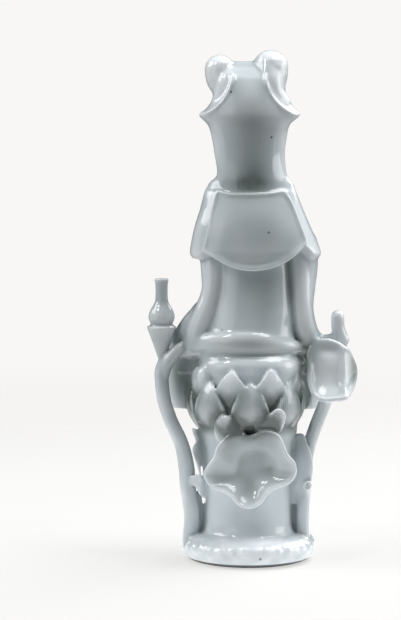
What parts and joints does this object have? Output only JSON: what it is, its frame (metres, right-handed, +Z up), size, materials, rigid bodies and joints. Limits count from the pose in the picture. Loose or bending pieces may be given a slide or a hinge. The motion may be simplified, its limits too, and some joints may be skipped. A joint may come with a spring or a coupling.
{
  "type": "guanyin figure",
  "caption": "White porcelain Guanyin in a tall cowl and cape, seated on a lotus throne over a round column and foot, between lotus stems with a bottle vase and an open leaf.",
  "frame": {"origin": "centre of the foot's flat underside", "axes": "+Z up from the foot to the knots of hair, the figure faces -Y, and +X is the figure's left, on the side of the stem with the vase"},
  "size_m": [0.0958, 0.0663, 0.2355],
  "materials": {
    "glaze": "smooth, glossy blue-white glaze that pools pale grey in the hollows, with a few dark pinholes"
  },
  "bodies": {
    "root": {"guanyin_figure": "glaze"}
  },
  "joints": []
}
